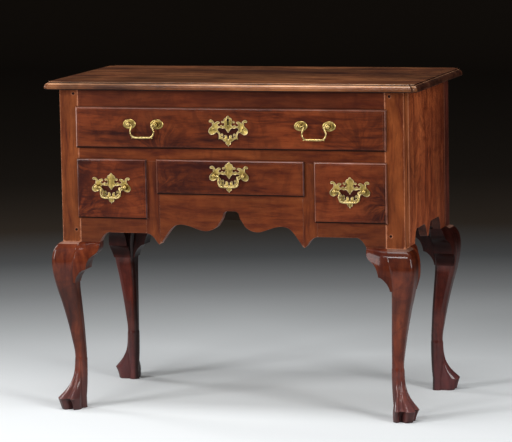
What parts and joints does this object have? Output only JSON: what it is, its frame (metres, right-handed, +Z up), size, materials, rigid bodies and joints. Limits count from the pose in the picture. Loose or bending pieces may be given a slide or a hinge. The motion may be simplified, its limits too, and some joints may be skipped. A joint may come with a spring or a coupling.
{
  "type": "lowboy",
  "caption": "Small wooden dressing table on cabriole legs, with a wide lipped drawer over small ones, a scalloped skirt, pierced brass pulls, sliding drawers, swinging bails and a lock.",
  "frame": {"origin": "middle of the floor under the case, level with the foot pads", "axes": "+X to the right of someone facing the drawers, -Y out of the drawer fronts, +Z up"},
  "size_m": [0.854, 0.4624, 0.74],
  "materials": {
    "case_wood": "French-polished reddish-brown hardwood with straight vertical and horizontal grain and pale worn arrises",
    "top_wood": "polished brown hardwood, figured along its length, worn paler on the moulding",
    "leg_wood": "dark red-brown hardwood with a deep gloss on the knees and feet",
    "drawer_wood": "figured dark red hardwood, glossy, with pale worn lips",
    "peg_wood": "dark end grain",
    "secondary_wood": "unpolished straight-grained softwood, browned by age",
    "brass": "cast brass, dull yellow with paler filed edges",
    "lock_brass": "dull unpolished brass",
    "iron": "dark worn iron"
  },
  "bodies": {
    "case": {"top_board": "top_wood", "front_left_leg": "leg_wood", "front_right_leg": "leg_wood", "rear_left_leg": "leg_wood", "rear_right_leg": "leg_wood", "front_left_knee_blocks": "leg_wood", "front_right_knee_blocks": "leg_wood", "rear_left_knee_blocks": "leg_wood", "rear_right_knee_blocks": "leg_wood", "left_side_panel": "case_wood", "right_side_panel": "case_wood", "back_panel": "secondary_wood", "top_rail": "case_wood", "middle_rail": "case_wood", "left_divider": "case_wood", "right_divider": "case_wood", "left_skirt": "case_wood", "right_skirt": "case_wood", "centre_skirt": "case_wood", "outer_runners": "secondary_wood", "inner_runners": "secondary_wood", "drawer_guides": "secondary_wood", "drawer_kickers": "secondary_wood", "joint_pegs": "peg_wood", "top_glue_blocks": "secondary_wood"},
    "top_drawer": {"top_drawer_front": "drawer_wood", "top_drawer_sides": "secondary_wood", "top_drawer_back": "secondary_wood", "top_drawer_bottom": "secondary_wood", "top_rosettes": "brass", "top_pull_posts": "brass", "keyhole_escutcheon": "brass", "escutcheon_nails": "brass", "lock_case": "lock_brass"},
    "lock_bolt": {"lock_bolt": "iron"},
    "top_left_bail": {"top_left_bail": "brass"},
    "top_right_bail": {"top_right_bail": "brass"},
    "left_drawer": {"left_drawer_front": "drawer_wood", "left_drawer_sides": "secondary_wood", "left_drawer_back": "secondary_wood", "left_drawer_bottom": "secondary_wood", "left_drawer_pull_plate": "brass", "left_drawer_pull_posts": "brass"},
    "left_drawer_bail": {"left_drawer_bail": "brass"},
    "middle_drawer": {"middle_drawer_front": "drawer_wood", "middle_drawer_sides": "secondary_wood", "middle_drawer_back": "secondary_wood", "middle_drawer_bottom": "secondary_wood", "middle_drawer_pull_plate": "brass", "middle_drawer_pull_posts": "brass"},
    "middle_drawer_bail": {"middle_drawer_bail": "brass"},
    "right_drawer": {"right_drawer_front": "drawer_wood", "right_drawer_sides": "secondary_wood", "right_drawer_back": "secondary_wood", "right_drawer_bottom": "secondary_wood", "right_drawer_pull_plate": "brass", "right_drawer_pull_posts": "brass"},
    "right_drawer_bail": {"right_drawer_bail": "brass"}
  },
  "joints": [
    {"name": "top_drawer_slide", "type": "slide", "parent": "case", "child": "top_drawer", "axis": [0, -1, 0], "range_m": [0, 0.26]},
    {"name": "left_drawer_slide", "type": "slide", "parent": "case", "child": "left_drawer", "axis": [0, -1, 0], "range_m": [0, 0.26]},
    {"name": "middle_drawer_slide", "type": "slide", "parent": "case", "child": "middle_drawer", "axis": [0, -1, 0], "range_m": [0, 0.26]},
    {"name": "right_drawer_slide", "type": "slide", "parent": "case", "child": "right_drawer", "axis": [0, -1, 0], "range_m": [0, 0.26]},
    {"name": "top_left_bail_swing", "type": "hinge", "parent": "top_drawer", "child": "top_left_bail", "pos_m": [-0.197, -0.2249, 0.6475], "axis": [-1, 0, 0], "range_deg": [-10, 95]},
    {"name": "top_right_bail_swing", "type": "hinge", "parent": "top_drawer", "child": "top_right_bail", "pos_m": [0.197, -0.2249, 0.6475], "axis": [-1, 0, 0], "range_deg": [-10, 95]},
    {"name": "left_drawer_bail_swing", "type": "hinge", "parent": "left_drawer", "child": "left_drawer_bail", "pos_m": [-0.274, -0.2245, 0.507], "axis": [-1, 0, 0], "range_deg": [-8, 95]},
    {"name": "middle_drawer_bail_swing", "type": "hinge", "parent": "middle_drawer", "child": "middle_drawer_bail", "pos_m": [0, -0.2245, 0.536], "axis": [-1, 0, 0], "range_deg": [-8, 95]},
    {"name": "right_drawer_bail_swing", "type": "hinge", "parent": "right_drawer", "child": "right_drawer_bail", "pos_m": [0.274, -0.2245, 0.507], "axis": [-1, 0, 0], "range_deg": [-8, 95]},
    {"name": "lock_bolt_slide", "type": "slide", "parent": "top_drawer", "child": "lock_bolt", "axis": [0, 0, 1], "range_m": [0, 0.007]}
  ]
}
